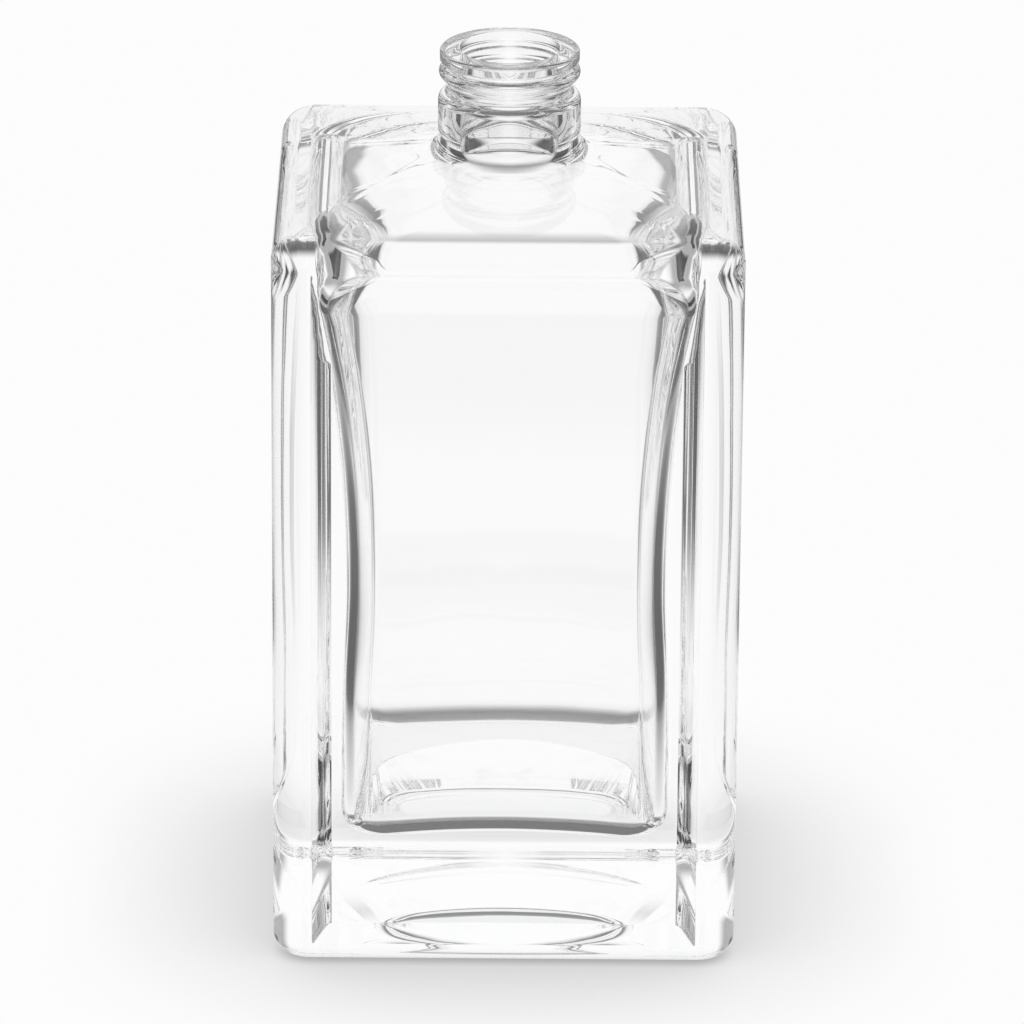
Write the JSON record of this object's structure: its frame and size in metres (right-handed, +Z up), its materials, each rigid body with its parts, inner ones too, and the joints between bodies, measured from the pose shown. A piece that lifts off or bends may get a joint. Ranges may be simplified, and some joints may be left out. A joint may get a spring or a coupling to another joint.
{
  "type": "aftershave bottle",
  "caption": "Empty square clear glass bottle with sunken faces, rounded edges, a climbing shoulder, a thick pushed-up base, a soft blown cavity and a short open neck with a lip, a bead and a collar",
  "frame": {"origin": "centre of the plane that the base stands on", "axes": "+Z up along the neck, the pictured front face towards -Y, +X to its right"},
  "size_m": [0.058, 0.058, 0.1115],
  "materials": {
    "clear_glass": "polished"
  },
  "bodies": {
    "root": {"glass_bottle": "clear_glass"}
  },
  "joints": []
}
